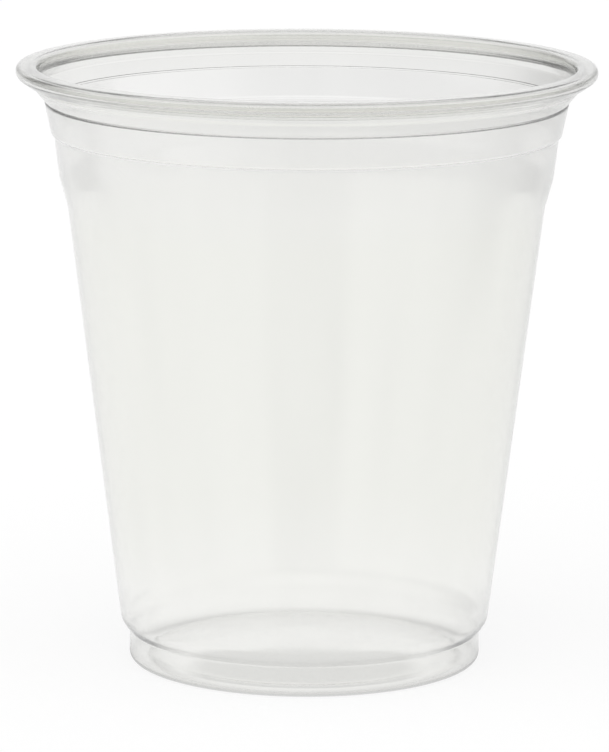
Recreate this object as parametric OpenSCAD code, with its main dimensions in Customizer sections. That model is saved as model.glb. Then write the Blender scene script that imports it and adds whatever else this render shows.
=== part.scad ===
// Clear plastic cold-drink cup: a thermoformed sheet with a rolled rim, two stepped bands
// under it, a tapered body, a stacking shoulder and a foot with a raised base.
// The cup stands on Z = 0 with its axis on Z. One sheet follows a single path, from the middle
// of the base up the wall, over the rim and round its curl to the cut edge. It is thickest at
// the rim, where the sheet was held, and thinnest down the wall, where it was drawn out most.

/* [Size] */
// Outer diameter of the rolled rim, which a standard lid presses over
rim_d = 98; // [92:0.5:104]
// Height from the table to the top of the rim
height = 102.4; // [92:0.2:125]
// Outer diameter of the foot
foot_d = 60; // [56:0.5:64]

/* [Sheet] */
// Thickness of the sheet round the rim
rim_wall = 0.55; // [0.3:0.05:0.6]
// Thickness of the sheet at the bands
band_wall = 0.3; // [0.2:0.05:0.4]
// Thickness of the sheet down the tapered wall, to the shoulder
wall = 0.25; // [0.2:0.05:0.35]
// Thickness of the sheet at the foot and base
foot_wall = 0.35; // [0.2:0.05:0.4]

/* [Rolled rim] */
// Width of the rim's top, from the mouth to the outer edge
rim_w = 3.75; // [3.25:0.05:4.5]
// Fall of the rim's top towards its outer edge, in degrees
top_fall = 2; // [1:0.5:6]
// Height from the rim's top to the lower corner of its outer edge
edge_h = 1.7; // [1.5:0.1:2.1]
// Slope of the curl's underside from the horizontal, in degrees
curl_slope = 35; // [25:1:40]
// Gap between the curl and the wall
curl_gap = 0.5; // [0.3:0.1:0.8]
// Gap between the curl's cut edge and the underside of the rim's top
edge_gap = 0.4; // [0.2:0.1:0.7]
// How far the curl's edge, rolled back up inside, leans away from the wall
edge_lean = 0.25; // [0.1:0.05:0.5]
// Inside bend where the wall turns onto the rim's top
mouth_bend = 0.5; // [0.3:0.1:1]
// Inside bend at the rim's upper outer edge
edge_bend = 0.35; // [0.2:0.05:0.5]
// Inside bend where the outer edge turns in to the curl's underside
belly_bend = 0.5; // [0.3:0.05:0.8]
// Inside bend where the underside turns back up inside the curl
curl_bend = 0.4; // [0.2:0.1:0.6]
// Height from the flare's upper end to the rim's top
neck_h = 4; // [3.5:0.1:5]
// Height of the flare that carries the rim
flare_h = 2.2; // [1.6:0.1:2.8]
// How far the flare spreads outwards
flare_w = 1.8; // [1:0.1:2.2]

/* [Bands] */
// Width of the fine ledge under the flare
ledge_w = 0.2; // [0.1:0.05:0.5]
// Fall of the ledge from the flare to its outer edge
ledge_h = 0.05; // [0.05:0.05:0.3]
// Height of the upper band
band_a_h = 5.3; // [4:0.1:6]
// How far the upper band widens towards its top
band_a_w = 1.1; // [0.8:0.05:1.6]
// Height of the step between the bands
step_h = 0.4; // [0.3:0.05:1]
// Width of the step between the bands
step_w = 0.5; // [0.3:0.05:0.8]
// Height of the lower band
band_b_h = 7; // [5:0.1:9]
// How far the lower band widens towards its top
band_b_w = 0.85; // [0.5:0.05:1.4]
// Height of the bevel under the lower band
bevel_h = 5; // [3:0.1:7]
// Width of the bevel under the lower band
bevel_w = 1.4; // [0.8:0.05:2]
// Inside bend of the ledge's corners
tight_bend = 0.1; // [0.05:0.05:0.25]
// Inside bend of the step's corners
step_bend = 0.5; // [0.3:0.1:1]
// Inside bend at both ends of the bevel
bevel_bend = 6; // [3:0.5:10]

/* [Foot] */
// Height of the foot's upright wall
foot_h = 5.2; // [4:0.1:7]
// Height of the stacking shoulder over the foot
shoulder_h = 1.7; // [1.2:0.1:2.6]
// Width of the stacking shoulder
shoulder_w = 1.45; // [1:0.05:2]
// Inside bend at the shoulder's outer corner
shoulder_bend = 3.2; // [1:0.1:4]
// Inside bend at the foot's outer edge
foot_bend = 0.8; // [0.5:0.1:1.4]
// Inside bend at the foot wall's top and at the ring's inner edge
foot_corner_bend = 0.5; // [0.3:0.1:0.8]
// Width of the flat ring that stands on the table, with its outer edge
ring_w = 3.4; // [2.6:0.1:4.5]
// Height of the riser inside the ring
riser_h = 1; // [0.8:0.1:2]
// Width of the riser inside the ring
riser_w = 0.6; // [0.4:0.1:1.4]
// Inside bend where the riser turns into the base panel
panel_bend = 3; // [1:0.5:5]
// How far the base panel rises further towards its middle
dome_h = 1.5; // [0.5:0.1:3]
// Radius of the flat middle of the base panel
dome_flat_r = 9; // [5:0.5:14]
// Inside bend around the flat middle
dome_bend = 60; // [20:5:100]

/* [Hidden] */
clear_pet = [0.93, 0.94, 0.93, 0.35];
round_fn = 180;
// Largest turn between two points of a bend, in degrees
bend_step = 6;
// Largest share of a straight side that one bend may take
bend_share = 0.48;

rim_r = rim_d / 2;
foot_r = foot_d / 2;
mouth_r = rim_r - rim_w;

// Heights, from the rim down
flare_top_z = height - neck_h;
flare_z = flare_top_z - flare_h;
ledge_z = flare_z - ledge_h;
band_a_z = ledge_z - band_a_h;
step_z = band_a_z - step_h;
band_b_z = step_z - band_b_h;
bevel_z = band_b_z - bevel_h;
shoulder_z = foot_h + shoulder_h;

// Outer radii, from the rim down
neck_r = mouth_r + rim_wall;
flare_r = neck_r - flare_w;
band_a_top_r = flare_r + ledge_w;
band_a_r = band_a_top_r - band_a_w;
band_b_top_r = band_a_r - step_w;
band_b_r = band_b_top_r - band_b_w;
body_top_r = band_b_r - bevel_w;
body_r = foot_r + shoulder_w;

// The curl is hollow, and these are the corners of its inside. The first is set so that the
// bend over it just reaches the rim's height, though the top falls away from there.
curl_top_z = height - rim_wall + mouth_bend * (tan(top_fall) + 1 / cos(top_fall) - 1);
curl_r = rim_r - rim_wall;
curl_shoulder_z = curl_top_z - (curl_r - neck_r) * tan(top_fall);
curl_belly_z = height - edge_h + rim_wall * tan((90 - curl_slope) / 2);
curl_turn_r = neck_r + curl_gap + rim_wall;
curl_turn_z = curl_belly_z - (curl_r - curl_turn_r) * tan(curl_slope);
curl_end_r = curl_turn_r + edge_lean;
curl_end_z = curl_top_z - (curl_end_r - neck_r) * tan(top_fall) - edge_gap;

// Inner radius of the standing ring, and of the base panel over the riser
ring_r = foot_r - ring_w;
panel_r = ring_r - riser_w;

// Corners of the sheet's outer side, as [radius, height, inside bend, thickness of the sheet]
path = [
    [0, riser_h + dome_h, 0, foot_wall],
    [dome_flat_r, riser_h + dome_h, dome_bend, foot_wall],
    [panel_r, riser_h, panel_bend, foot_wall],
    [ring_r, 0, foot_corner_bend, foot_wall],
    [foot_r, 0, foot_bend, foot_wall],
    [foot_r, foot_h, foot_corner_bend, foot_wall],
    [body_r, shoulder_z, shoulder_bend, wall],
    [body_top_r, bevel_z, bevel_bend, wall],
    [band_b_r, band_b_z, bevel_bend, wall],
    [band_b_top_r, step_z, step_bend, band_wall],
    [band_a_r, band_a_z, step_bend, band_wall],
    [band_a_top_r, ledge_z, tight_bend, band_wall],
    [flare_r, flare_z, tight_bend, band_wall],
    [neck_r, flare_top_z, step_bend, rim_wall],
    [neck_r, curl_top_z, mouth_bend, rim_wall],
    [curl_r, curl_shoulder_z, edge_bend, rim_wall],
    [curl_r, curl_belly_z, belly_bend, rim_wall],
    [curl_turn_r, curl_turn_z, curl_bend, rim_wall],
    [curl_end_r, curl_end_z, 0, rim_wall]
];
last = len(path) - 1;

function unit(v) = v / norm(v);
function left_of(v) = [-v[1], v[0]];
function turned(v, a) = [v[0] * cos(a) - v[1] * sin(a), v[0] * sin(a) + v[1] * cos(a)];

// Angle from one direction to another in degrees, positive to the left, towards the drink
function turn(a, b) = atan2(a[0] * b[1] - a[1] * b[0], a * b);

// Direction across the path to its left, on the stretch that starts at a corner
function across(i) =
    let (a = path[i], b = path[i + 1])
    left_of(unit([b[0] - a[0], b[1] - a[1]]));

// A corner of the sheet's outer side (side = 0) or of its inner side (side = 1), which lies
// the sheet's thickness to the left of both stretches that meet there
function corner(i, side) =
    let (a = across(max(i - 1, 0)), b = across(min(i, last - 1)))
    [path[i][0], path[i][1]] + (a + b) * path[i][3] * side / (1 + a * b);

// Points of a corner's bend, as an arc that touches both stretches. The side of the sheet
// away from the turn goes round the inside bend and one thickness more.
function bend(i, side) =
    let (
        here = corner(i, side),
        before = here - corner(i - 1, side),
        after = corner(i + 1, side) - here,
        angle = turn(before, after),
        half = abs(angle) / 2,
        inside_bend = path[i][2] + path[i][3] * (angle > 0 ? 1 - side : side),
        room = min(norm(before), norm(after)) * bend_share,
        reach = min(inside_bend * tan(half), room),
        arm = -left_of(unit(before)) * sign(angle) * reach / tan(half),
        centre = here - unit(before) * reach - arm,
        steps = ceil(abs(angle) / bend_step)
    )
    [for (k = [0 : steps]) centre + turned(arm, angle * k / steps)];

// One side of the sheet, from the axis to the curl's cut edge
function side_points(side) = [
    for (i = [0 : last])
        each (i == 0 || i == last) ? [corner(i, side)] : bend(i, side)
];

function reversed(points) = [for (i = [len(points) - 1 : -1 : 0]) points[i]];

// The whole cup, turned from the sheet's section
module cup() {
    color(clear_pet)
        rotate_extrude($fn = round_fn)
            polygon(concat(side_points(0), reversed(side_points(1))));
}

cup();
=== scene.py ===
"""Clear plastic cup on a white studio floor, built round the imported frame."""
import math

import bpy
import numpy as np
from mathutils import Matrix, Vector


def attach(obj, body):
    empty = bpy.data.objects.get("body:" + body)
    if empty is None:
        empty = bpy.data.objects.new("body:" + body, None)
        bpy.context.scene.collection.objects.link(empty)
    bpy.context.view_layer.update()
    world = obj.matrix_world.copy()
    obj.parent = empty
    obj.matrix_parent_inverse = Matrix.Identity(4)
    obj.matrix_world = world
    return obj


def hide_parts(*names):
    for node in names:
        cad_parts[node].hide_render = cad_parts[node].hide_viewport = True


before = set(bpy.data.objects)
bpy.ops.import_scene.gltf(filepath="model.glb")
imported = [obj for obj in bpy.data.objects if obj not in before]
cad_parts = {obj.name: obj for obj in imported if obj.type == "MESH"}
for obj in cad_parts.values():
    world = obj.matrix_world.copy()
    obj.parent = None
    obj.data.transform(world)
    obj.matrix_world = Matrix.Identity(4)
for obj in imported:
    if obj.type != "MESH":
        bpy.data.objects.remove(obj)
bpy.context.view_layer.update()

scene = bpy.context.scene
MM = 0.001

# The cup's sizes in millimetres, as the part's source has them
RIM_D, HEIGHT, FOOT_D = 98.0, 102.4, 60.0
RIM_WALL, BAND_WALL, WALL, FOOT_WALL = 0.55, 0.3, 0.25, 0.35
RIM_W, TOP_FALL, EDGE_H, CURL_SLOPE = 3.75, 2.0, 1.7, 35.0
CURL_GAP, EDGE_GAP, EDGE_LEAN = 0.5, 0.4, 0.25
MOUTH_BEND, EDGE_BEND, BELLY_BEND, CURL_BEND = 0.5, 0.35, 0.5, 0.4
NECK_H, FLARE_H, FLARE_W = 4.0, 2.2, 1.8
LEDGE_W, LEDGE_H = 0.2, 0.05
BAND_A_H, BAND_A_W, STEP_H, STEP_W = 5.3, 1.1, 0.4, 0.5
BAND_B_H, BAND_B_W, BEVEL_H, BEVEL_W = 7.0, 0.85, 5.0, 1.4
TIGHT_BEND, STEP_BEND, BEVEL_BEND = 0.1, 0.5, 6.0
FOOT_H, SHOULDER_H, SHOULDER_W = 5.2, 1.7, 1.45
SHOULDER_BEND, FOOT_BEND, FOOT_CORNER_BEND = 3.2, 0.8, 0.5
RING_W, RISER_H, RISER_W, PANEL_BEND = 3.4, 1.0, 0.6, 3.0
DOME_H, DOME_FLAT_R, DOME_BEND = 1.5, 9.0, 60.0

# How finely the cup is divided: degrees in a step of a bend, the largest share of a straight side
# that a bend may take, millimetres in a step of a side, steps round the axis, and the angle in
# degrees from which an edge shows as sharp
BEND_STEP, BEND_SHARE, SIDE_STEP = 6.0, 0.48, 4.0
ROUND_STEPS, SHARP_ANGLE = 224, 40

# What the plastic's surfaces let through at millimetres up the cup: clearest at the base, greenest
# down the drawn wall and greyer at the bands
TINT_SPAN = (0, 100)
PET_TINTS = [
    (0, (0.995, 0.995, 0.982)), (10, (0.992, 0.992, 0.98)), (22, (0.97, 0.972, 0.95)),
    (76, (0.97, 0.972, 0.95)), (84, (0.972, 0.972, 0.962)), (95, (0.972, 0.972, 0.962)),
    (98, (0.965, 0.965, 0.948)),
]
PET_IOR, PET_ROUGH = 1.57, 0.07
# How it darkens with depth, the density per metre
DEPTH_COLOUR, DEPTH_DENSITY = (0.5, 0.505, 0.505), 145.0
# Upright waves in the sheet: how much they take from the tint, how many there are in a metre across
# and up the wall, and their depth
STREAK_TINT = 0.97
STREAKS_ACROSS, STREAKS_UP, STREAK_DEPTH = 150, 12, 0.008 * MM

# The studio that the plastic mirrors: brightness at degrees round the cup, from -180 at the camera
# over -90 at the left and 0 behind the cup to 180, first near the horizon and then higher up
LOW_RING = [
    (-180, 0.45), (-163, 0.5), (-155, 0.95), (-115, 0.95), (-90, 0.75), (-62, 0.2), (-56, 0.03),
    (-32, 0.03), (-28, 0.6), (-14, 0.65), (-8, 1.0), (8, 1.0), (14, 0.65), (28, 0.5), (34, 0.1),
    (54, 0.1), (70, 0.95), (155, 0.95), (163, 0.5), (180, 0.45),
]
HIGH_RING = [
    (-180, 0.3), (-90, 0.35), (-56, 0.1), (-32, 0.1), (-25, 0.9), (0, 1.0), (25, 0.9),
    (60, 1.0), (110, 1.0), (145, 0.7), (165, 0.35), (180, 0.3),
]
OVERHEAD = 0.85
# Sines of the heights over which one ring passes into the next, and the higher one into the top
RING_HEIGHTS, TOP_HEIGHTS = (0.12, 0.2), (0.45, 0.6)

# What lights the floor: the same from all round, and two soft suns, each with the place it shines
# from, its strength and its spread in degrees
WORLD_LIGHT = 0.55
SUNS = {"key": ((-0.5, -0.7, 1.3), 1.4, 70), "fill": ((0.8, -0.4, 0.9), 0.8, 90)}

# Half the floor's width in metres, and its colour where it keeps the shadow
FLOOR_HALF, FLOOR_GREY = 4.0, 0.95
# How much of the floor is plain white, the rest keeping the shadow: to the camera, and in the plastic
FLOOR_WHITE_SEEN, FLOOR_WHITE_MIRRORED = 0.85, 1.0
# Metres over which the mirrored floor grows darker in front, behind and to the right, a painted shade of
# the light falling off, and how dark
FLOOR_FRONT, FLOOR_FRONT_SHADE = (-0.6, -0.15), 0.85
FLOOR_BACK, FLOOR_BACK_SHADE = (0.4, 0.9), 0.93
FLOOR_RIGHT, FLOOR_RIGHT_SHADE = (0.0, 0.15), 0.94
# Brightness of the mirrored floor at millimetres from the cup's axis: a painted shadow, darker where the
# ring stands
RING_SPAN = (0, 50)
FLOOR_RING_SHADOW = [(0, 1.0), (21, 1.0), (25, 0.9), (28, 0.8), (30.5, 0.6), (32, 0.85), (36, 1.0)]
# A painted shadow under the front of the base, a darker oval patch: where its middle is, how deep it is
# for its width, and its brightness at millimetres towards the camera from its middle
PATCH_Y, PATCH_DEPTH, PATCH_SPAN = -9 * MM, 0.65, (0, 20)
FLOOR_PATCH_SHADOW = [(0, 0.72), (11, 0.74), (13.5, 1.0)]

# How often a ray may pass a surface before it is dropped, in all and in the plastic
RAY_STEPS, PLASTIC_STEPS = 96, 64


def tan_deg(angle):
    return math.tan(math.radians(angle))


def sheet_path():
    """Corners of the sheet's outer side, axis to cut edge: radius, height, inside bend, thickness."""
    rim_r, foot_r = RIM_D / 2, FOOT_D / 2
    neck_r = rim_r - RIM_W + RIM_WALL
    flare_r = neck_r - FLARE_W
    band_a_top_r = flare_r + LEDGE_W
    band_a_r = band_a_top_r - BAND_A_W
    band_b_top_r = band_a_r - STEP_W
    band_b_r = band_b_top_r - BAND_B_W
    flare_top_z = HEIGHT - NECK_H
    flare_z = flare_top_z - FLARE_H
    ledge_z = flare_z - LEDGE_H
    band_a_z = ledge_z - BAND_A_H
    step_z = band_a_z - STEP_H
    band_b_z = step_z - BAND_B_H
    rise = tan_deg(TOP_FALL) + 1 / math.cos(math.radians(TOP_FALL)) - 1
    curl_top_z = HEIGHT - RIM_WALL + MOUTH_BEND * rise
    curl_r = rim_r - RIM_WALL
    curl_shoulder_z = curl_top_z - (curl_r - neck_r) * tan_deg(TOP_FALL)
    curl_belly_z = HEIGHT - EDGE_H + RIM_WALL * tan_deg((90 - CURL_SLOPE) / 2)
    curl_turn_r = neck_r + CURL_GAP + RIM_WALL
    curl_turn_z = curl_belly_z - (curl_r - curl_turn_r) * tan_deg(CURL_SLOPE)
    curl_end_r = curl_turn_r + EDGE_LEAN
    curl_end_z = curl_top_z - (curl_end_r - neck_r) * tan_deg(TOP_FALL) - EDGE_GAP
    ring_r = foot_r - RING_W
    return [
        (0, RISER_H + DOME_H, 0, FOOT_WALL),
        (DOME_FLAT_R, RISER_H + DOME_H, DOME_BEND, FOOT_WALL),
        (ring_r - RISER_W, RISER_H, PANEL_BEND, FOOT_WALL),
        (ring_r, 0, FOOT_CORNER_BEND, FOOT_WALL),
        (foot_r, 0, FOOT_BEND, FOOT_WALL),
        (foot_r, FOOT_H, FOOT_CORNER_BEND, FOOT_WALL),
        (foot_r + SHOULDER_W, FOOT_H + SHOULDER_H, SHOULDER_BEND, WALL),
        (band_b_r - BEVEL_W, band_b_z - BEVEL_H, BEVEL_BEND, WALL),
        (band_b_r, band_b_z, BEVEL_BEND, WALL),
        (band_b_top_r, step_z, STEP_BEND, BAND_WALL),
        (band_a_r, band_a_z, STEP_BEND, BAND_WALL),
        (band_a_top_r, ledge_z, TIGHT_BEND, BAND_WALL),
        (flare_r, flare_z, TIGHT_BEND, BAND_WALL),
        (neck_r, flare_top_z, STEP_BEND, RIM_WALL),
        (neck_r, curl_top_z, MOUTH_BEND, RIM_WALL),
        (curl_r, curl_shoulder_z, EDGE_BEND, RIM_WALL),
        (curl_r, curl_belly_z, BELLY_BEND, RIM_WALL),
        (curl_turn_r, curl_turn_z, CURL_BEND, RIM_WALL),
        (curl_end_r, curl_end_z, 0, RIM_WALL),
    ]


def directions(corners):
    """Unit vectors along each stretch between two corners, and to the left of it."""
    along = np.diff(corners, axis=0)
    along /= np.linalg.norm(along, axis=1)[:, None]
    return along, np.stack([-along[:, 1], along[:, 0]], 1)


def sheet_side(path, inner):
    """The outer (0) or inner (1) side of the sheet in mm, with its corners bent."""
    corners = np.array([p[:2] for p in path], float)
    across = np.array([p[3] for p in path]) * inner
    left = directions(corners)[1]
    moved = corners.copy()
    moved[0] += left[0] * across[0]
    moved[-1] += left[-1] * across[-1]
    both = left[:-1] + left[1:]
    moved[1:-1] += both * (across[1:-1] / (1 + (left[:-1] * left[1:]).sum(1)))[:, None]
    along, left = directions(moved)

    points = [moved[0]]
    for i in range(1, len(path) - 1):
        before, after = moved[i - 1] - moved[i], moved[i + 1] - moved[i]
        turn = math.atan2(
            along[i - 1][0] * along[i][1] - along[i - 1][1] * along[i][0], along[i - 1] @ along[i]
        )
        half = abs(turn) / 2
        room = min(np.linalg.norm(before), np.linalg.norm(after)) * BEND_SHARE
        bend = path[i][2] + path[i][3] * (1 - inner if turn > 0 else inner)
        reach = min(bend * math.tan(half), room)
        arm = -left[i - 1] * math.copysign(reach / math.tan(half), turn)
        centre = moved[i] - along[i - 1] * reach - arm
        steps = max(2, math.ceil(math.degrees(2 * half) / BEND_STEP))
        for k in range(steps + 1):
            c, s = math.cos(turn * k / steps), math.sin(turn * k / steps)
            points.append(centre + np.array([arm[0] * c - arm[1] * s, arm[0] * s + arm[1] * c]))
    points.append(moved[-1])

    divided = [points[0]]
    for a, b in zip(points[:-1], points[1:]):
        steps = max(1, math.ceil(np.linalg.norm(b - a) / SIDE_STEP))
        divided += [a + (b - a) * k / steps for k in range(1, steps + 1)]
    return np.array(divided)


def lathe(name, outline):
    """A closed body of revolution from an outline whose two ends lie on the axis."""
    steps = range(ROUND_STEPS)
    turn = np.arange(ROUND_STEPS) * 2 * math.pi / ROUND_STEPS
    ring = outline[1:-1]
    body = np.stack(
        [
            ring[:, :1] * np.cos(turn),
            ring[:, :1] * np.sin(turn),
            np.repeat(ring[:, 1:], ROUND_STEPS, axis=1),
        ],
        axis=2,
    ).reshape(-1, 3)
    poles = [(0, 0, outline[0][1]), (0, 0, outline[-1][1])]
    points = np.vstack([body, poles]) * MM
    first, last = len(body), len(body) + 1
    after = [(i + 1) % ROUND_STEPS for i in steps]
    faces = []
    for k in range(len(ring) - 1):
        low, high = k * ROUND_STEPS, (k + 1) * ROUND_STEPS
        faces += [(low + i, low + after[i], high + after[i], high + i) for i in steps]
    faces += [(first, after[i], i) for i in steps]
    faces += [(last, high + i, high + after[i]) for i in steps]
    mesh = bpy.data.meshes.new(name)
    mesh.from_pydata(points.tolist(), [], faces)
    mesh.validate()
    mesh.shade_smooth()
    mesh.set_sharp_from_angle(angle=math.radians(SHARP_ANGLE))
    piece = bpy.data.objects.new(name, mesh)
    scene.collection.objects.link(piece)
    return piece


def new_material(name):
    material = bpy.data.materials.new(name)
    material.use_nodes = True
    return material, material.node_tree.nodes, material.node_tree.links


def clear_plastic():
    """Glossy clear PET, with the faint upright waves of a sheet drawn down into its mould."""
    material, nodes, links = new_material("clear_pet")
    shader = nodes["Principled BSDF"]
    shader.inputs["Transmission Weight"].default_value = 1.0
    shader.inputs["IOR"].default_value = PET_IOR
    shader.inputs["Roughness"].default_value = PET_ROUGH

    where = nodes.new("ShaderNodeTexCoord")
    stretch = nodes.new("ShaderNodeMapping")
    stretch.inputs["Scale"].default_value = (STREAKS_ACROSS, STREAKS_ACROSS, STREAKS_UP)
    links.new(where.outputs["Object"], stretch.inputs[0])
    waves = nodes.new("ShaderNodeTexNoise")
    waves.inputs["Scale"].default_value = 1.0
    waves.inputs["Detail"].default_value = 1.0
    links.new(stretch.outputs[0], waves.inputs["Vector"])

    axes = nodes.new("ShaderNodeSeparateXYZ")
    links.new(where.outputs["Object"], axes.inputs[0])
    tint = nodes.new("ShaderNodeMix")
    tint.data_type = "RGBA"
    tint.blend_type = "MULTIPLY"
    links.new(waves.outputs[0], tint.inputs["Factor"])
    links.new(ramp(nodes, links, axes.outputs["Z"], PET_TINTS, TINT_SPAN, MM), tint.inputs[6])
    tint.inputs[7].default_value = (STREAK_TINT, STREAK_TINT, STREAK_TINT, 1)
    links.new(tint.outputs[2], shader.inputs["Base Color"])

    bump = nodes.new("ShaderNodeBump")
    bump.inputs["Distance"].default_value = STREAK_DEPTH
    links.new(waves.outputs[0], bump.inputs["Height"])
    links.new(bump.outputs[0], shader.inputs["Normal"])

    depth = nodes.new("ShaderNodeVolumeAbsorption")
    depth.inputs["Color"].default_value = (*DEPTH_COLOUR, 1)
    depth.inputs["Density"].default_value = DEPTH_DENSITY
    links.new(depth.outputs[0], nodes["Material Output"].inputs["Volume"])
    return material


def build_cup():
    path = sheet_path()
    outline = np.vstack([sheet_side(path, 0), sheet_side(path, 1)[::-1]])
    cup = lathe("cup_clear", outline)
    cup.data.materials.append(clear_plastic())
    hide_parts("cup")
    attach(cup, "root")


def seen_rays(nodes, links, kinds):
    """A value that is 1 for the named kinds of ray, and 0 for the rest."""
    rays = nodes.new("ShaderNodeLightPath")
    value = rays.outputs[kinds[0]]
    for kind in kinds[1:]:
        both = nodes.new("ShaderNodeMath")
        both.operation = "MAXIMUM"
        links.new(value, both.inputs[0])
        links.new(rays.outputs[kind], both.inputs[1])
        value = both.outputs[0]
    return value


def map_range(nodes, links, value, before, after):
    """The value, passed evenly from one range to another and held at its ends."""
    node = nodes.new("ShaderNodeMapRange")
    for socket, number in zip(node.inputs[1:5], (*before, *after)):
        socket.default_value = number
    links.new(value, node.inputs[0])
    return node.outputs[0]


def ramp(nodes, links, value, stops, span, unit):
    """Colour by a value, from stops of the value and grey or colour, over a span in the same unit."""
    start, end = span
    curve = nodes.new("ShaderNodeValToRGB")
    links.new(map_range(nodes, links, value, (start * unit, end * unit), (0, 1)), curve.inputs[0])
    elements = curve.color_ramp.elements
    while len(elements) < len(stops):
        elements.new(0.5)
    for element, (place, shade) in zip(elements, stops):
        element.position = (place - start) / (end - start)
        element.color = (*(shade if isinstance(shade, tuple) else (shade,) * 3), 1)
    return curve.outputs[0]


def blend(nodes, links, share, first, second):
    """The first value where the share is 0, and the second where it is 1; each a number or an output."""
    node = nodes.new("ShaderNodeMix")
    links.new(share, node.inputs["Factor"])
    for socket, value in zip((node.inputs[2], node.inputs[3]), (first, second)):
        if isinstance(value, float):
            socket.default_value = value
        else:
            links.new(value, socket)
    return node.outputs[0]


def length_of(nodes, links, vector):
    node = nodes.new("ShaderNodeVectorMath")
    node.operation = "LENGTH"
    links.new(vector, node.inputs[0])
    return node.outputs["Value"]


def floor_shade(nodes, links):
    """Brightness of the floor as the plastic mirrors it, the product of five painted shades: darker in
    front, behind and to the right, a painted shadow where the ring stands and a painted shadow patch
    under the front of the base.
    """
    place = nodes.new("ShaderNodeTexCoord").outputs["Object"]
    axes = nodes.new("ShaderNodeSeparateXYZ")
    links.new(place, axes.inputs[0])
    patch = nodes.new("ShaderNodeMapping")
    patch.inputs["Location"].default_value = (0, -PATCH_Y, 0)
    patch.inputs["Scale"].default_value = (PATCH_DEPTH, 1, 1)
    links.new(place, patch.inputs[0])
    from_axis = length_of(nodes, links, place)
    from_patch = length_of(nodes, links, patch.outputs[0])
    shades = [
        map_range(nodes, links, axes.outputs["Y"], FLOOR_FRONT, (FLOOR_FRONT_SHADE, 1)),
        map_range(nodes, links, axes.outputs["Y"], FLOOR_BACK, (1, FLOOR_BACK_SHADE)),
        map_range(nodes, links, axes.outputs["X"], FLOOR_RIGHT, (1, FLOOR_RIGHT_SHADE)),
        ramp(nodes, links, from_axis, FLOOR_RING_SHADOW, RING_SPAN, MM),
        ramp(nodes, links, from_patch, FLOOR_PATCH_SHADOW, PATCH_SPAN, MM),
    ]
    shade = shades[0]
    for other in shades[1:]:
        darker = nodes.new("ShaderNodeMath")
        darker.operation = "MULTIPLY"
        links.new(shade, darker.inputs[0])
        links.new(other, darker.inputs[1])
        shade = darker.outputs[0]
    return shade


def build_floor():
    """White floor, which keeps the cup's shadow; what the plastic mirrors of it carries painted shade
    and painted shadows.
    """
    mesh = bpy.data.meshes.new("floor")
    half = FLOOR_HALF
    corners = [(-half, -half, 0), (half, -half, 0), (half, half, 0), (-half, half, 0)]
    mesh.from_pydata(corners, [], [(0, 1, 2, 3)])
    floor = bpy.data.objects.new("floor", mesh)
    scene.collection.objects.link(floor)

    material, nodes, links = new_material("floor_white")
    nodes.clear()
    out = nodes.new("ShaderNodeOutputMaterial")
    mix = nodes.new("ShaderNodeMixShader")
    diffuse = nodes.new("ShaderNodeBsdfDiffuse")
    diffuse.inputs["Color"].default_value = (FLOOR_GREY, FLOOR_GREY, FLOOR_GREY, 1)
    white = nodes.new("ShaderNodeEmission")
    mirrored = seen_rays(nodes, links, ("Is Transmission Ray", "Is Glossy Ray"))
    shade = floor_shade(nodes, links)
    links.new(blend(nodes, links, mirrored, 1.0, shade), white.inputs["Strength"])
    unlit = blend(nodes, links, mirrored, 0.0, FLOOR_WHITE_MIRRORED)
    seen = seen_rays(nodes, links, ("Is Camera Ray",))
    links.new(blend(nodes, links, seen, unlit, FLOOR_WHITE_SEEN), mix.inputs[0])
    links.new(diffuse.outputs[0], mix.inputs[1])
    links.new(white.outputs[0], mix.inputs[2])
    links.new(mix.outputs[0], out.inputs["Surface"])
    mesh.materials.append(material)


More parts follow.
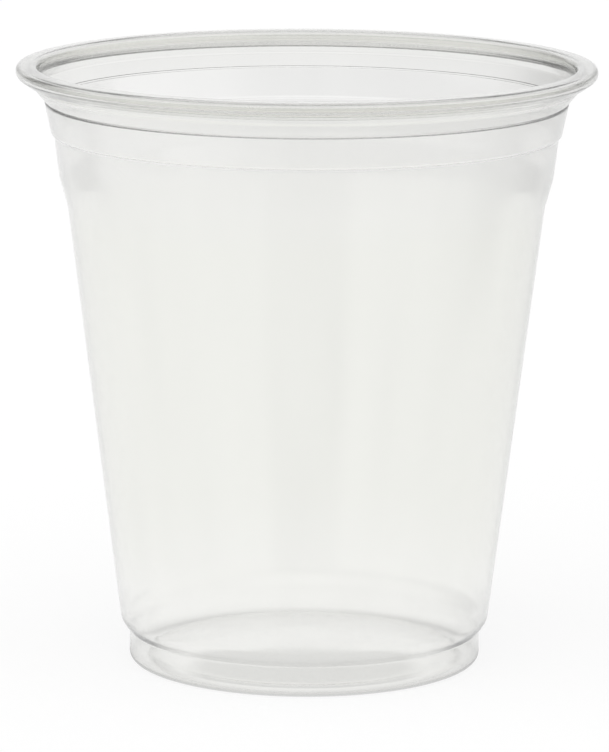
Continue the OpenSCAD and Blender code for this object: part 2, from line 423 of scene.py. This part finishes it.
def build_world():
    """White to the camera; the plastic mirrors and bends a studio with darker places round it."""
    world = bpy.data.worlds.new("studio")
    scene.world = world
    world.use_nodes = True
    nodes, links = world.node_tree.nodes, world.node_tree.links
    nodes.clear()
    out = nodes.new("ShaderNodeOutputWorld")

    where = nodes.new("ShaderNodeTexCoord")
    axes = nodes.new("ShaderNodeSeparateXYZ")
    links.new(where.outputs["Generated"], axes.inputs[0])
    angle = nodes.new("ShaderNodeMath")
    angle.operation = "ARCTAN2"
    links.new(axes.outputs["X"], angle.inputs[0])
    links.new(axes.outputs["Y"], angle.inputs[1])
    height = axes.outputs["Z"]
    degree = math.radians(1)
    low = ramp(nodes, links, angle.outputs[0], LOW_RING, (-180, 180), degree)
    high = ramp(nodes, links, angle.outputs[0], HIGH_RING, (-180, 180), degree)
    sides = blend(nodes, links, map_range(nodes, links, height, RING_HEIGHTS, (0, 1)), low, high)
    studio = blend(nodes, links, map_range(nodes, links, height, TOP_HEIGHTS, (0, 1)), sides, OVERHEAD)

    plastic_ray = seen_rays(nodes, links, ("Is Transmission Ray", "Is Glossy Ray"))
    unseen = blend(nodes, links, plastic_ray, WORLD_LIGHT, studio)
    seen = blend(nodes, links, seen_rays(nodes, links, ("Is Camera Ray",)), unseen, 1.0)
    light = nodes.new("ShaderNodeBackground")
    light.inputs["Color"].default_value = (1, 1, 1, 1)
    links.new(seen, light.inputs["Strength"])
    links.new(light.outputs[0], out.inputs["Surface"])


def soft_sun(name, place, strength, spread):
    """A broad lamp from one direction, which isn't mirrored as a disc in the plastic."""
    data = bpy.data.lights.new(name, "SUN")
    data.energy = strength
    data.angle = math.radians(spread)
    lamp = bpy.data.objects.new(name, data)
    scene.collection.objects.link(lamp)
    lamp.rotation_euler = (-Vector(place)).to_track_quat("-Z", "Y").to_euler()
    lamp.visible_glossy = False
    lamp.visible_transmission = False


def build_camera():
    """Long lens at the photograph's viewing angle, fitted to the cup's rim, bands and foot."""
    photo_h, focal_px = 752, 5085.5
    distance, height, aside = 850.6 * MM, 213.77 * MM, -0.17 * MM
    pitch, roll = math.radians(10.975), math.radians(0.275)
    data = bpy.data.cameras.new("camera")
    data.sensor_width = 36
    data.lens = focal_px * data.sensor_width / photo_h
    camera = bpy.data.objects.new("camera", data)
    scene.collection.objects.link(camera)
    turn = Matrix.Rotation(math.pi / 2 - pitch, 4, "X") @ Matrix.Rotation(roll, 4, "Z")
    camera.matrix_world = Matrix.Translation((aside, -distance, height)) @ turn
    scene.camera = camera


build_cup()
build_floor()
build_world()
for sun, (place, strength, spread) in SUNS.items():
    soft_sun(sun, place, strength, spread)
build_camera()

scene.view_settings.view_transform = "Standard"
scene.cycles.max_bounces = RAY_STEPS
scene.cycles.transmission_bounces = PLASTIC_STEPS
scene.cycles.glossy_bounces = PLASTIC_STEPS
